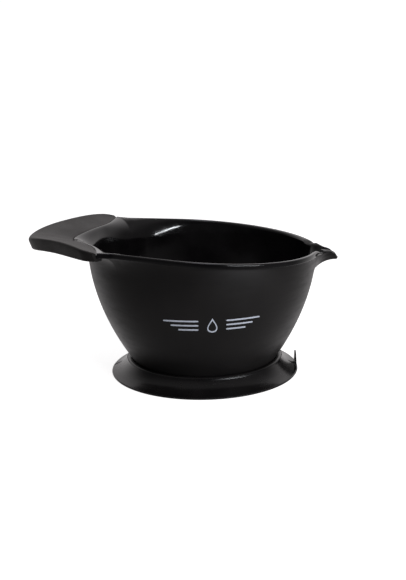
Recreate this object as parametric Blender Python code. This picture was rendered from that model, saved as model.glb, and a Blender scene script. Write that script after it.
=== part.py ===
"""Hair colour bowl: moulded bowl with a pouring spout and a broad handle, a soft grip moulded
round the handle, and a soft suction base with a release tab.

The bowl's axis is vertical. The spout points along +X and the handle along -X. Every length
below is in millimetres and every azimuth in degrees from the spout, counter-clockwise from above.
The origin is the middle of the whole object's footprint, on the surface it stands on.
"""
import math

import bmesh
import bpy
from mathutils import Vector

MM = 0.001
GAP = 0.3                       # air between neighbouring pieces

# Bowl wall: outer radius = WALL_R - (WALL_Z - z)^2 / WALL_CURVE
WALL_R = 63.7
WALL_Z = 75.0
WALL_CURVE = 196.0
WALL = 2.2                      # wall thickness
FOOT_Z = 5.8                    # underside of the foot ring
FOOT_WIDTH = 2.2
UNDERSIDE_Z = 8.0               # underside of the floor, inside the foot ring
FLOOR_Z = 10.4                  # top of the floor
FLOOR_FILLET = 6.0
FLOOR_ANGLES = (35.0, 65.0, 90.0)
LOFT_Z = 50.0                   # the wall is a plain surface of revolution below this height
OUTER_HEIGHTS = (14.0, 26.0, 38.0)
INNER_HEIGHTS = (38.0, 27.0)
OUTER_LEVELS = (0.0, 0.3, 0.55, 0.7, 0.8, 0.88, 0.95, 1.0)      # share of the way up from LOFT_Z
INNER_LEVELS = (0.03, 0.08, 0.16, 0.27, 0.4, 0.65, 1.0)         # share of the way down to LOFT_Z
EDGE = 0.4                      # small rounding on outer edges
TANGENT_STEP = 0.02             # share of the height over which a slope is measured

# Rim: a plane that rises towards the handle, with a bead round the outside
RIM_R = 64.5
RIM_Z = 75.4                    # rim height on the bowl's axis
RIM_SLOPE = -0.082              # change of rim height along X
BEAD_DROP = 2.6                 # height of the bead
BEAD = ((0.0, -2.3), (0.0, -0.8), (-0.2, -0.25), (-0.5, 0.0), (-0.7, 0.0))  # from its outer edge
RIM_FLAT = 1.8                  # width of the crest
RIM_LIP_DROP = 0.1              # the crest's inner edge lies this far below its top
RIM_ROUND = 1.6                 # drop of the rounded inner edge
FLARE_ROUND_START = 84.0        # the inner edge's rounding grows between these azimuths
FLARE_ROUND_END = 128.0
FLARE_CREST = 0.9               # width of the crest where the rim flares
FLARE_START = 104.0             # the rim leaves its circle here
FLARE = 7.0                     # how far it moves out over FLARE_SPAN degrees
FLARE_SPAN = 26.0
FLARE_DROP = 12.0               # drop of the inner edge where the handle starts
CORNER_START = 129.0            # the rim turns out to the handle's corner from here
CORNER_SPAN = 4.2
CORNER = 4.0

# Spout lip, from the tip round to where it joins the rim (x, y, z)
SPOUT_LIP = ((74.8, 0.0, 62.2), (73.5, 2.9, 65.1), (71.0, 4.8, 67.8), (67.4, 8.0, 69.3),
             (64.1, 13.0, 69.9), (61.34, 19.93, 70.37))
SPOUT_AZIMUTH = 18.0            # the spout spans this much to either side
SPOUT_START = 0.45              # share of the height where the wall turns out into the spout
SPOUT_LEVEL = 2.2               # how level the spout's underside ends
SPOUT_TURN = 1.25               # how sharply it starts
SPOUT_BLEND = 0.7               # share of SPOUT_AZIMUTH from which the spout eases into the wall

# Handle: the bowl's lip (the nose) meets the grip along NOSE_R, drawn out to a point at the back
HANDLE_START = 133.2
HANDLE_STEP = 0.3               # degrees over which the rim gives way to the handle
NOSE_R = 66.0
NOSE_POINT = 5.7
NOSE_SPREAD = 13.0              # degrees
NOSE_Z = 78.8
NOSE_DIP = 1.8
NOSE_FLAT = 0.6                 # width of the level strip along that line
NOSE_EDGE = 0.3
NOSE_DROP = 12.0                # drop of the ramp from the nose into the bowl
RAMP_LAG = 1.5                  # the outside follows the ramp this far below it
SHOULDER_END = 153.0            # from here to its start the nose turns out to meet the rim
SHOULDER_RISE = 11.0
NOSE_RISE = 0.8
CORE_STEP = 0.8                 # the core plate's top lies this far below the nose
CORE_THICKNESS = 1.5
CORE_INSET = 4.0                # the core's edge lies this far inside the grip's outline

# Grip outline and heights
GRIP_R = 82.3
GRIP_TIP = 13.9                 # further reach at the tip
GRIP_TIP_SPREAD = 19.5
GRIP_TIP_POWER = 2.1
GRIP_SHOULDER = 138.5
GRIP_SHOULDER_CUT = 7.5
GRIP_SHOULDER_SPAN = 8.5
GRIP_START = 133.5
GRIP_CREST_Z = 82.9
GRIP_CREST_X = -72.5
GRIP_CREST_CURVE = 122.0        # of the fall towards the bowl
GRIP_TIP_CURVE = 200.0          # of the gentler fall towards the tip
GRIP_CROWN = 1.5                # fullness of the top along the middle
GRIP_BOTTOM_Z = 75.4
GRIP_TIP_DROP = 2.8
GRIP_TOP_LEVELS = (0.0, 0.25, 0.5, 0.75, 1.0)
GRIP_TOP_POWER = 1.5            # the top is dished towards the bowl
GRIP_EDGE = ((-0.4, -0.7), (0.0, -2.0))     # rounded upper edge, from the outline and the crest
GRIP_FOOT = ((-0.7, 1.2), (-1.8, 0.0))      # rounded lower edge, from the outline and the bottom
GRIP_RIM = 1.6                  # width of the rounded upper edge

# Suction base
CUP_R = 53.3
CUP_COLLAR_Z = 9.0
CUP_COLLAR = 2.3                # collar thickness
CUP_UNDERSIDE = ((0.0, 3.4), (38.0, 3.2), (46.0, 2.2), (50.8, 0.0), (52.6, 0.0))
CUP_TOP = ((CUP_R, 0.35), (CUP_R, 0.9), (51.9, 1.3), (49.9, 2.1), (47.6, 3.5), (45.8, 5.3),
           (44.8, 7.2))

# Release tab: a blade that stands on the base's edge and bends at its root
TAB_AZIMUTH = -4.0
TAB_R = 52.0
TAB_ROOT_Z = 1.9
TAB_HEIGHT = 7.6
TAB_HALF_WIDTH = 9.0
TAB_ROOT_THICKNESS = 1.1
TAB_TOP_THICKNESS = 0.7
TAB_SQUARENESS = 0.8            # below 1 the blade's outline is squarer than a half round
TAB_STEPS = 12
TAB_FOOT = 0.4                  # height of the blade at its ends

COLUMNS_SPOUT = 12              # columns over half of each stretch
COLUMNS_RIM = 17
COLUMNS_FLARE = 6
COLUMNS_HANDLE = 14
COLUMNS_CUP = 72


def smooth(t):
    """Ease from 0 to 1."""
    t = min(max(t, 0.0), 1.0)
    return t * t * (3.0 - 2.0 * t)


def polar(radius, azimuth, z):
    """Point at an azimuth in degrees."""
    a = math.radians(azimuth)
    return Vector((radius * math.cos(a), radius * math.sin(a), z))


def off_handle(azimuth):
    """Degrees from the middle of the handle."""
    return abs(180.0 - azimuth % 360.0)


def wall_radius(z):
    """Outer radius of the bowl's wall."""
    return WALL_R - (WALL_Z - z) ** 2 / WALL_CURVE


def inner_radius(z):
    """Inner radius of the bowl's wall, one wall thickness in along the normal."""
    slope = 2.0 * (WALL_Z - z) / WALL_CURVE
    return wall_radius(z) - WALL * math.hypot(1.0, slope)


def rim_radius(azimuth):
    """Outer radius of the rim, which flares towards the handle."""
    from_spout = 180.0 - off_handle(azimuth)
    flare = max((from_spout - FLARE_START) / FLARE_SPAN, 0.0)
    corner = max((from_spout - CORNER_START) / CORNER_SPAN, 0.0)
    return RIM_R + FLARE * flare ** 2 + CORNER * corner ** 1.5


def flare_share(azimuth):
    """0 on the round part of the rim, 1 where its inner edge is fully rounded."""
    from_spout = 180.0 - off_handle(azimuth)
    return smooth((from_spout - FLARE_ROUND_START) / (FLARE_ROUND_END - FLARE_ROUND_START))


def crest_width(azimuth):
    """Distance from the rim's outer edge to where its inner edge starts to round."""
    return RIM_FLAT + (FLARE_CREST - RIM_FLAT) * flare_share(azimuth)


def rim_height(azimuth):
    """Height of the rim's crest."""
    return RIM_Z + RIM_SLOPE * polar(rim_radius(azimuth), azimuth, 0.0).x


def shoulder(azimuth):
    """How far the nose has turned out to meet the rim, 1 where the handle starts."""
    turned = max(off_handle(azimuth) - (180.0 - SHOULDER_END), 0.0) / (SHOULDER_END - HANDLE_START)
    return turned ** 2


def nose_radius(azimuth):
    """Line where the bowl's lip meets the grip."""
    point = NOSE_POINT * math.exp(-(off_handle(azimuth) / NOSE_SPREAD) ** 2)
    return NOSE_R + point + SHOULDER_RISE * shoulder(azimuth)


def nose_height(azimuth):
    """Height of that line."""
    dip = NOSE_DIP * math.exp(-(off_handle(azimuth) / NOSE_SPREAD) ** 2)
    return NOSE_Z - dip + NOSE_RISE * shoulder(azimuth)


def grip_radius(azimuth):
    """Outline of the grip."""
    off = off_handle(azimuth)
    cut = max(off - (180.0 - GRIP_SHOULDER), 0.0) / GRIP_SHOULDER_SPAN
    tip = GRIP_TIP * math.exp(-(off / GRIP_TIP_SPREAD) ** GRIP_TIP_POWER)
    return GRIP_R + tip - GRIP_SHOULDER_CUT * cut ** 2


def grip_crest(azimuth):
    """Height of the grip's upper edge."""
    along = polar(grip_radius(azimuth), azimuth, 0.0).x - GRIP_CREST_X
    return GRIP_CREST_Z - along ** 2 / (GRIP_TIP_CURVE if along < 0.0 else GRIP_CREST_CURVE)


def grip_bottom(azimuth):
    """Height of the grip's underside."""
    return GRIP_BOTTOM_Z - GRIP_TIP_DROP * math.exp(-(off_handle(azimuth) / NOSE_SPREAD) ** 2)


def core_radius(azimuth):
    """Outline of the handle's core plate."""
    return max(grip_radius(azimuth) - CORE_INSET, nose_radius(azimuth) + 0.2)


def is_handle(azimuth):
    """True where the handle's core leaves the bowl."""
    return off_handle(azimuth) < 180.0 - HANDLE_START + 0.01


def is_spout(azimuth):
    """True where the wall turns out into the spout."""
    return off_handle(azimuth) > 180.0 - SPOUT_AZIMUTH


def spout_ease(azimuth):
    """0 on the spout, 1 where it has eased into the plain wall."""
    place = (180.0 - off_handle(azimuth)) / SPOUT_AZIMUTH
    return smooth((place - SPOUT_BLEND) / (1.0 - SPOUT_BLEND))


def ramp(azimuth, z):
    """How far the wall has turned outwards at height z, from the bowl's inside up to its lip."""
    if is_handle(azimuth):
        lip, crest, drop = nose_radius(azimuth) - NOSE_FLAT, nose_height(azimuth), NOSE_DROP
    else:
        lip, crest = rim_radius(azimuth) - crest_width(azimuth), rim_height(azimuth) - RIM_LIP_DROP
        drop = RIM_ROUND + (FLARE_DROP - RIM_ROUND) * flare_share(azimuth)
    rise = min(max(z - (crest - drop), 0.0) / drop, 1.0)
    return (lip - inner_radius(z)) * (1.0 - math.sqrt(1.0 - rise ** 2))


def catmull(points, s):
    """Point at s from 0 to 1 on a smooth curve through points, mirrored in Y at its start."""
    first = Vector((points[1][0], -points[1][1], points[1][2]))
    knots = [first] + [Vector(p) for p in points]
    knots.append(knots[-1] * 2.0 - knots[-2])
    place = s * (len(points) - 1)
    i = min(int(place), len(points) - 2)
    t = place - i
    a, b, c, d = knots[i:i + 4]
    return 0.5 * (2.0 * b + (c - a) * t + (2.0 * a - 5.0 * b + 4.0 * c - d) * t ** 2
                  + (3.0 * b - a - 3.0 * c + d) * t ** 3)


def spout_lip(azimuth):
    """Outer edge of the spout's lip, for a column whose wall stands at this azimuth."""
    side = -1.0 if azimuth > 180.0 else 1.0
    off = 180.0 - off_handle(azimuth)
    point = catmull(SPOUT_LIP, off / SPOUT_AZIMUTH)
    return Vector((point.x, side * point.y, point.z))


def handle_columns():
    """Azimuths of the grip's columns up to its middle, which the bowl shares."""
    span = 180.0 - HANDLE_START
    return [GRIP_START] + [HANDLE_START + span * i / COLUMNS_HANDLE for i in range(1, COLUMNS_HANDLE)]


def bowl_columns():
    """Azimuths of the bowl's columns, once round, with a step where the handle starts."""
    end = SPOUT_AZIMUTH
    half = [end * i / COLUMNS_SPOUT for i in range(COLUMNS_SPOUT)]
    half += [end + (FLARE_START - end) * i / COLUMNS_RIM for i in range(COLUMNS_RIM)]
    span = HANDLE_START - HANDLE_STEP - FLARE_START
    half += [FLARE_START + span * i / COLUMNS_FLARE for i in range(COLUMNS_FLARE + 1)]
    half += [HANDLE_START] + handle_columns()
    return half + [180.0] + [360.0 - a for a in reversed(half[1:])]


def spout_wall(azimuth, t):
    """Outer surface of the spout, which turns out at SPOUT_START and ends almost level."""
    lip = spout_lip(azimuth)
    share = smooth((180.0 - off_handle(azimuth)) / SPOUT_AZIMUTH)
    radial = Vector((lip.x, lip.y, 0.0)).normalized()
    lip = lip - radial * (RIM_R - WALL_R) * share - Vector((0.0, 0.0, BEAD_DROP * share))
    turned = max((t - SPOUT_START) / (1.0 - SPOUT_START), 0.0)
    rise = 1.0 - (1.0 - turned) ** SPOUT_LEVEL
    z = LOFT_Z + (lip.z - LOFT_Z) * (min(t, SPOUT_START) + (1.0 - SPOUT_START) * rise)
    base = polar(wall_radius(z), azimuth, z)
    out = turned ** SPOUT_TURN
    return Vector((base.x + (lip.x - base.x) * out, base.y + (lip.y - base.y) * out, z))


def plain_wall(azimuth, t):
    """Outer surface away from the spout."""
    if is_handle(azimuth):
        top = nose_height(azimuth) - CORE_STEP - CORE_THICKNESS
    else:
        top = rim_height(azimuth) - BEAD_DROP
    z = LOFT_Z + (top - LOFT_Z) * t
    return polar(wall_radius(z) + ramp(azimuth, z + RAMP_LAG), azimuth, z)


def outer_wall(azimuth, t):
    """Outer surface above LOFT_Z, t from 0 there to 1 under the rim, core or spout lip."""
    if not is_spout(azimuth):
        return plain_wall(azimuth, t)
    return spout_wall(azimuth, t).lerp(plain_wall(azimuth, t), spout_ease(azimuth))


def wall_frame(azimuth, t):
    """Point of the outer wall, its outward normal and its upward tangent."""
    low = max(t - TANGENT_STEP, 0.0)
    here = outer_wall(azimuth, t)
    up = (outer_wall(azimuth, low + TANGENT_STEP) - outer_wall(azimuth, low)).normalized()
    before = outer_wall((azimuth - 0.5) % 360.0, t)
    after = outer_wall((azimuth + 0.5) % 360.0, t)
    normal = (after - before).cross(up).normalized()
    return here, normal, up


def edge_round(azimuth, count):
    """Half-round edge of the spout's lip, from the outside to the inside."""
    here, normal, up = wall_frame(azimuth, 1.0)
    middle = here - normal * (WALL / 2.0)
    angles = [math.pi * i / (count - 1) for i in range(count)]
    return [middle + (normal * math.cos(a) + up * math.sin(a)) * (WALL / 2.0) for a in angles]


def bead_section(azimuth):
    """Beaded rim, from the outside to the inside."""
    r = rim_radius(azimuth)
    z = rim_height(azimuth)
    shape = BEAD + ((-crest_width(azimuth), -RIM_LIP_DROP),)
    return [polar(r + out, azimuth, z + up) for out, up in shape]


def core_section(azimuth):
    """Handle core plate and the nose above it, from the outside to the inside."""
    core = core_radius(azimuth)
    nose = nose_radius(azimuth)
    z = nose_height(azimuth)
    top = z - CORE_STEP
    shape = ((core, top - CORE_THICKNESS), (core, top), (nose, top), (nose, z - NOSE_EDGE),
             (nose - NOSE_EDGE, z), (nose - NOSE_FLAT, z))
    return [polar(radius, azimuth, height) for radius, height in shape]


def lip_section(azimuth):
    """The six points between the outer wall and the inner wall."""
    if is_handle(azimuth):
        return core_section(azimuth)
    bead = bead_section(azimuth)
    if not is_spout(azimuth):
        return bead
    share = smooth((180.0 - off_handle(azimuth)) / SPOUT_AZIMUTH)
    lip = spout_lip(azimuth)
    along = math.degrees(math.atan2(lip.y, lip.x)) % 360.0
    moved = [polar(p.xy.length, along, p.z) for p in bead]
    shift = lip - polar(RIM_R, along, rim_height(along))
    edge = [e.lerp(m + shift, share ** 3) for e, m in zip(edge_round(azimuth, len(bead)), moved)]
    return [e.lerp(b, spout_ease(azimuth)) for e, b in zip(edge, bead)]


def inner_wall(azimuth, levels):
    """Inner surface from the lip down to LOFT_Z."""
    top = nose_height(azimuth) if is_handle(azimuth) else rim_height(azimuth) - RIM_LIP_DROP
    heights = [top + (LOFT_Z - top) * level for level in levels]
    plain = [polar(inner_radius(z) + ramp(azimuth, z), azimuth, z) for z in heights]
    if not is_spout(azimuth):
        return plain
    points = []
    for level, point in zip(levels, plain):
        here, normal = wall_frame(azimuth, 1.0 - level)[:2]
        points.append((here - normal * WALL).lerp(point, spout_ease(azimuth)))
    return points


def bowl_section(azimuth):
    """One column of the bowl, from the underside round the rim to the floor."""
    foot = wall_radius(FOOT_Z)
    ring = ((foot - FOOT_WIDTH, UNDERSIDE_Z), (foot - FOOT_WIDTH, FOOT_Z), (foot - EDGE, FOOT_Z))
    points = [polar(r, azimuth, z) for r, z in ring]
    points += [polar(wall_radius(z), azimuth, z) for z in (FOOT_Z + EDGE,) + OUTER_HEIGHTS]
    points += [outer_wall(azimuth, t) for t in OUTER_LEVELS]
    points += lip_section(azimuth)
    points += inner_wall(azimuth, INNER_LEVELS)
    heights = INNER_HEIGHTS + (FLOOR_Z + FLOOR_FILLET,)
    points += [polar(inner_radius(z), azimuth, z) for z in heights]
    corner = inner_radius(FLOOR_Z + FLOOR_FILLET) - FLOOR_FILLET
    for angle in FLOOR_ANGLES:
        a = math.radians(angle)
        radius = corner + FLOOR_FILLET * math.cos(a)
        points.append(polar(radius, azimuth, FLOOR_Z + FLOOR_FILLET * (1.0 - math.sin(a))))
    return points


def grip_section(azimuth):
    """One closed section of the grip, a C that holds the handle's core plate."""
    nose = nose_radius(azimuth) + GAP
    core = core_radius(azimuth) + GAP
    outline = grip_radius(azimuth)
    low = nose_height(azimuth)
    high = grip_crest(azimuth)
    bottom = grip_bottom(azimuth)
    slot_top = low - CORE_STEP + GAP
    slot_bottom = low - CORE_STEP - CORE_THICKNESS - GAP
    inside = outer_wall(azimuth, 1.0).xy.length + GAP
    crown = GRIP_CROWN * math.exp(-(off_handle(azimuth) / GRIP_TIP_SPREAD) ** 2)
    width = outline - GRIP_RIM - nose
    shape = []
    for s in GRIP_TOP_LEVELS:
        z = low + (high - low) * s ** GRIP_TOP_POWER + crown * math.sin(math.pi * s)
        shape.append((nose + width * s, z))
    shape += [(outline + out, high + up) for out, up in GRIP_EDGE]
    shape += [(outline + out, bottom + up) for out, up in GRIP_FOOT]
    shape += [(inside, bottom), (inside, slot_bottom), (core, slot_bottom), (core, slot_top),
              (nose, slot_top)]
    return [polar(radius, azimuth, z) for radius, z in shape]


def cup_section(azimuth):
    """One column of the suction base, from its underside to its socket's floor."""
    shape = list(CUP_UNDERSIDE[1:]) + list(CUP_TOP)
    top = wall_radius(CUP_COLLAR_Z) + GAP
    shape += [(top + CUP_COLLAR, CUP_COLLAR_Z - EDGE), (top + CUP_COLLAR - EDGE, CUP_COLLAR_Z),
              (top, CUP_COLLAR_Z)]
    socket = wall_radius(FOOT_Z) + 2.0 * GAP
    shape += [(socket, FOOT_Z - GAP)]
    return [polar(radius, azimuth, z) for radius, z in shape]


def material(name, colour, roughness):
    """Plain moulded material."""
    made = bpy.data.materials.new(name)
    made.use_nodes = True
    shader = made.node_tree.nodes["Principled BSDF"]
    shader.inputs["Base Color"].default_value = (*colour, 1.0)
    shader.inputs["Roughness"].default_value = roughness
    return made


def add_object(name, bm, place, surface):
    """Link a finished bmesh, in millimetres, as a named object."""
    bmesh.ops.scale(bm, vec=(MM, MM, MM), verts=bm.verts)
    bmesh.ops.recalc_face_normals(bm, faces=bm.faces)
    mesh = bpy.data.meshes.new(name)
    bm.to_mesh(mesh)
    bm.free()
    mesh.shade_smooth()
    mesh.set_sharp_from_angle(angle=math.radians(35.0))
    mesh.materials.append(surface)
    made = bpy.data.objects.new(name, mesh)
    made.location = place * MM
    bpy.context.scene.collection.objects.link(made)
    return made


def bridge(bm, columns, ring):
    """Skin neighbouring columns of points; ring closes each column on itself."""
    rows = len(columns[0])
    verts = [[bm.verts.new(p) for p in column] for column in columns]
    pairs = list(zip(verts, verts[1:]))
    for left, right in pairs:
        for i in range(rows if ring else rows - 1):
            j = (i + 1) % rows
            bm.faces.new((left[i], right[i], right[j], left[j]))
    return verts


def turned(bm, columns, low, high):
    """Skin columns once round the axis and close both ends at points on it."""
    verts = bridge(bm, columns, ring=False)
    rows = len(columns[0])
    for i in range(rows - 1):
        bm.faces.new((verts[-1][i], verts[0][i], verts[0][i + 1], verts[-1][i + 1]))
    for row, z in ((0, low), (rows - 1, high)):
        centre = bm.verts.new((0.0, 0.0, z))
        for i in range(len(verts)):
            bm.faces.new((centre, verts[i - 1][row], verts[i][row]))


def make_bowl(place):
    """Bowl, spout, rim bead and handle core in one moulding."""
    bm = bmesh.new()
    turned(bm, [bowl_section(a) for a in bowl_columns()], UNDERSIDE_Z, FLOOR_Z)
    surface = material("bowl_polypropylene", (0.012, 0.012, 0.013), 0.35)
    return add_object("bowl_shell", bm, place, surface)


def make_grip(place):
    """Soft grip moulded round the handle's core."""
    bm = bmesh.new()
    half = handle_columns()
    columns = [grip_section(a) for a in half + [180.0] + [360.0 - a for a in reversed(half)]]
    verts = bridge(bm, columns, ring=True)
    bm.faces.new(verts[0])
    bm.faces.new(verts[-1])
    return add_object("handle_grip", bm, place, material("grip_elastomer", (0.045, 0.041, 0.038), 0.6))


def make_cup(place):
    """Suction base: a bell with a socket for the bowl's foot and a hollow underside."""
    bm = bmesh.new()
    columns = [cup_section(360.0 * i / COLUMNS_CUP) for i in range(COLUMNS_CUP)]
    turned(bm, columns, CUP_UNDERSIDE[0][1], FOOT_Z - GAP)
    return add_object("suction_cup", bm, place, material("base_rubber", (0.016, 0.016, 0.017), 0.42))


def make_tab(place):
    """Release tab, a rounded blade with its origin on its bending line."""
    bm = bmesh.new()
    columns = []
    root = TAB_ROOT_THICKNESS / 2.0
    for i in range(TAB_STEPS + 1):
        a = math.pi * i / TAB_STEPS
        y = TAB_HALF_WIDTH * math.cos(a)
        z = TAB_HEIGHT * math.sin(a) ** TAB_SQUARENESS
        half = root + (TAB_TOP_THICKNESS / 2.0 - root) * z / TAB_HEIGHT
        top = z + TAB_FOOT
        columns.append([(-root, y, 0.0), (-half, y, top), (half, y, top), (root, y, 0.0)])
    verts = bridge(bm, columns, ring=True)
    bm.faces.new(verts[0])
    bm.faces.new(verts[-1])
    hinge = polar(TAB_R, TAB_AZIMUTH, TAB_ROOT_Z)
    made = add_object("release_tab", bm, place + hinge, material("tab_rubber", (0.016, 0.016, 0.017), 0.42))
    made.rotation_euler.z = math.radians(TAB_AZIMUTH)
    return made


def main():
    for old in list(bpy.data.objects):
        bpy.data.objects.remove(old, do_unlink=True)
    spout_reach = max(point.x for point in bowl_section(0.0))
    axis = Vector(((grip_radius(180.0) - spout_reach) / 2.0, 0.0, 0.0))
    make_bowl(axis)
    make_grip(axis)
    make_cup(axis)
    make_tab(axis)


main()
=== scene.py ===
"""Looks of the hair colour bowl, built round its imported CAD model.

Lengths are in millimetres and azimuths in degrees from the spout, counter-clockwise from above,
round the bowl's own axis. Heights are above the surface that the base stands on. Only the lights are
given in metres and watts.
"""
import math

import bmesh
import bpy
from mathutils import Matrix, Vector


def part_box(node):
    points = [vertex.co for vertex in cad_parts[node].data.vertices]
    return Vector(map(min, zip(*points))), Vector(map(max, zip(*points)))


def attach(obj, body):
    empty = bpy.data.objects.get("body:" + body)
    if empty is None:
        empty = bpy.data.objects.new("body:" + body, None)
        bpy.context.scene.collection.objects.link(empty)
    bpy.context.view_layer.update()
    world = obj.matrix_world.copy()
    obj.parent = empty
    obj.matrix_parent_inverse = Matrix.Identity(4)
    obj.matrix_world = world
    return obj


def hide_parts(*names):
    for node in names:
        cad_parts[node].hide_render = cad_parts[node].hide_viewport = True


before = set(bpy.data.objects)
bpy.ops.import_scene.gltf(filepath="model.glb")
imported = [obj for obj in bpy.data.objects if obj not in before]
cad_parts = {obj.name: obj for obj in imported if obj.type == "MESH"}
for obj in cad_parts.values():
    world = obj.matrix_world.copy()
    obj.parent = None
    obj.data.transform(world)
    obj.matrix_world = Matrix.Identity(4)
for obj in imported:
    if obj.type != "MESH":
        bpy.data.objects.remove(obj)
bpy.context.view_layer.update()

MM = 0.001
SHARP_ANGLE = 40.0              # edges that turn by more degrees than this are shaded sharp

base_low, base_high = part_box("suction_cup")
AXIS_X = (base_low[0] + base_high[0]) / 2.0 / MM
CUP_R = (base_high[0] - base_low[0]) / 2.0 / MM

# Bowl wall: outer radius = WALL_R - (WALL_Z - z)^2 / WALL_CURVE
WALL_R = 63.7
WALL_Z = 75.0
WALL_CURVE = 196.0
WALL = 2.2
FOOT_Z = 5.8
FOOT_WIDTH = 2.2
FOOT_CHAMFER = 0.4
UNDERSIDE_Z = 8.0
FLOOR_Z = 10.4
FLOOR_FILLET = 6.0
FLOOR_RINGS = (0.7, 0.35)       # rings of the mesh on the floor, as shares of its radius
LOFT_Z = 50.0                   # below this height the wall is the same all round
TANGENT_STEP = 0.02             # step up the wall for its tangent, as a share of its height
AROUND_STEP = 0.5               # step round the wall for its tangent, in degrees
STEP_Z = 39.0                   # faint moulded ring inside the bowl
STEP_DEPTH = 0.22
STEP_HEIGHT = 0.7
STEP_MARGIN = 2.0               # the next rows of the mesh keep this far from the ring
STEP_FADE_Z = 20.0              # height where the ring's depth has faded out

# Rim
RIM_R = 64.5
RIM_Z = 75.4
RIM_SLOPE = -0.082
BEAD_DROP = 2.6
BEAD_ROUND = 0.85               # radius of the bead's outer edge
BEAD_FILLET = 0.35              # hollow between the bead and the wall
RIM_FLAT = 1.8
RIM_LIP_DROP = 0.1
RIM_ROUND = 1.6
FLARE_ROUND_START = 84.0        # the inner edge's rounding grows between these azimuths
FLARE_ROUND_END = 128.0
FLARE_CREST = 0.9               # width of the crest where the rim flares
FLARE_START = 104.0
FLARE = 7.0
FLARE_SPAN = 26.0
FLARE_DROP = 12.0
CORNER_START = 129.0
CORNER_SPAN = 4.2
CORNER = 4.0
CORNER_POWER = 1.5

# Spout lip, from the tip round to where it joins the rim (x, y, z)
SPOUT_LIP = ((74.8, 0.0, 62.2), (73.5, 2.9, 65.1), (71.0, 4.8, 67.8), (67.4, 8.0, 69.3),
             (64.1, 13.0, 69.9), (61.34, 19.93, 70.37))
SPOUT_AZIMUTH = 18.0
SPOUT_START = 0.45              # share of the height where the wall turns out into the spout
SPOUT_LEVEL = 2.2               # how level the spout's underside ends
SPOUT_TURN = 1.25               # how sharply it starts
SPOUT_BLEND = 0.7               # share of SPOUT_AZIMUTH from which the spout eases into the wall

# Handle
HANDLE_START = 133.2
HANDLE_STEP = 0.15              # step from the rim's last column to the handle's first
HANDLE_TOLERANCE = 0.01         # lets the column at HANDLE_START count as the handle's
NOSE_R = 66.0
NOSE_POINT = 5.7
NOSE_SPREAD = 13.0
NOSE_Z = 78.8
NOSE_DIP = 1.8
NOSE_FLAT = 0.6
NOSE_EDGE = 0.35
NOSE_DROP = 12.0
RAMP_LAG = 1.5
SHOULDER_END = 153.0            # from here to its start the nose turns out to meet the rim
SHOULDER_RISE = 11.0
NOSE_RISE = 0.8
CORE_STEP = 0.8
CORE_THICKNESS = 1.5
CORE_INSET = 4.0
CORE_MARGIN = 0.2               # least width of the core plate, where its spare rows lie

# Grip
GAP = 0.3
GRIP_R = 82.3
GRIP_TIP = 13.9
GRIP_TIP_SPREAD = 19.5
GRIP_TIP_POWER = 2.1
GRIP_SHOULDER = 138.5
GRIP_SHOULDER_CUT = 7.5
GRIP_SHOULDER_SPAN = 8.5
GRIP_START = 133.38
GRIP_CREST_Z = 82.9
GRIP_CREST_X = -72.5
GRIP_CREST_CURVE = 122.0        # of the fall towards the bowl
GRIP_TIP_CURVE = 200.0          # of the gentler fall towards the tip
GRIP_CROWN = 1.5
GRIP_BOTTOM_Z = 75.4
GRIP_TIP_DROP = 2.8
GRIP_EDGE = 0.7                 # radius of the upper edge
GRIP_TIP_EDGE = 1.7             # further radius at the tip
GRIP_TIP_EDGE_SPREAD = 9.0
GRIP_SIDE_TILT = 0.45           # faces whose normal rises less than this get the side's darker material: painted shade
GRIP_FOOT = 1.5                 # radius of the lower edge
GRIP_LEAN = 1.2                 # the side leans in by this much towards its foot
GRIP_LEAN_POWER = 1.4
GRIP_NOSE_EDGE = 0.35           # radius of the edge that meets the bowl's lip

# Suction base
CUP_COLLAR_Z = 9.0
CUP_COLLAR = 2.3
COLLAR_ROUND = 1.2
COLLAR_CHAMFER = 0.3
COLLAR_SLANT = 9.0              # lean of the collar's side, in degrees
CUP_UNDERSIDE = ((38.0, 3.2), (46.0, 2.2), (50.8, 0.0), (52.6, 0.0))
CUP_FLANK = ((52.9, 1.02), (51.9, 1.3), (49.9, 2.1), (47.6, 3.5), (45.8, 5.3), (44.6, 7.2), (44.35, 8.2))
CUP_LIP = 0.45                  # radius of the flange's outer edge
CUP_LIP_END = 60.0              # where that edge's arc meets the flank, in degrees
CUP_HOLLOW_Z = 3.4
MARKS = (174.5, -0.6)           # azimuths of the two short radial notches in the flange
MARK_LENGTH = 5.2
MARK_WIDTH = 0.8
MARK_DEPTH = 0.8
MARK_FADE = 1.0                 # length over which a notch reaches its depth
MARK_LOWEST = 0.6               # below this height the notches cut nothing
MARK_STEPS = (-0.62, -0.31, 0.0, 0.31, 0.62)            # extra columns across a notch, in degrees
MARK_APART = 0.2                # least distance of the even columns from those

# Release tab
TAB_AZIMUTH = -4.0
TAB_R = 52.0
TAB_ROOT_Z = 1.9
TAB_HEIGHT = 8.0
TAB_HALF_WIDTH = 9.0
TAB_ROOT_RADIUS = 0.55
TAB_TOP_RADIUS = 0.45
TAB_SQUARENESS = 0.8
TAB_ROUND_POINTS = 9

# Printed mark: a droplet between two sets of rules
PRINT_AZIMUTH = -85.8
PRINT_Z = 41.8
PRINT_LIFT = 0.05
DROP_HALF_WIDTH = 3.7
DROP_HALF_HEIGHT = 4.4
DROP_POINT = 1.5
DROP_INSET_HEIGHT = 1.3         # strokes by which the inner outline's half height is less
DROP_INSET_SHIFT = 0.3          # strokes by which it sits lower
DROP_POINTS = 61
INK_STROKE = 0.85
RULE_START = 7.0
RULE_END = 0.02                 # half of the width left at a rule's ends
RULE_POINTS = 41
RULES = ((2.6, 18.5), (0.0, 14.5), (-2.6, 10.5))        # height and length of each rule

# Camera
FOCAL_LENGTH = 55.86
SENSOR = 36.0
CAMERA_BACK = -494.2
CAMERA_HEIGHT = 169.6
AIM_X = -0.13
AIM_Z = 45.85
CAMERA_ROLL = -1.184


# ---------------------------------------------------------------- shapes shared by the pieces

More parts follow.
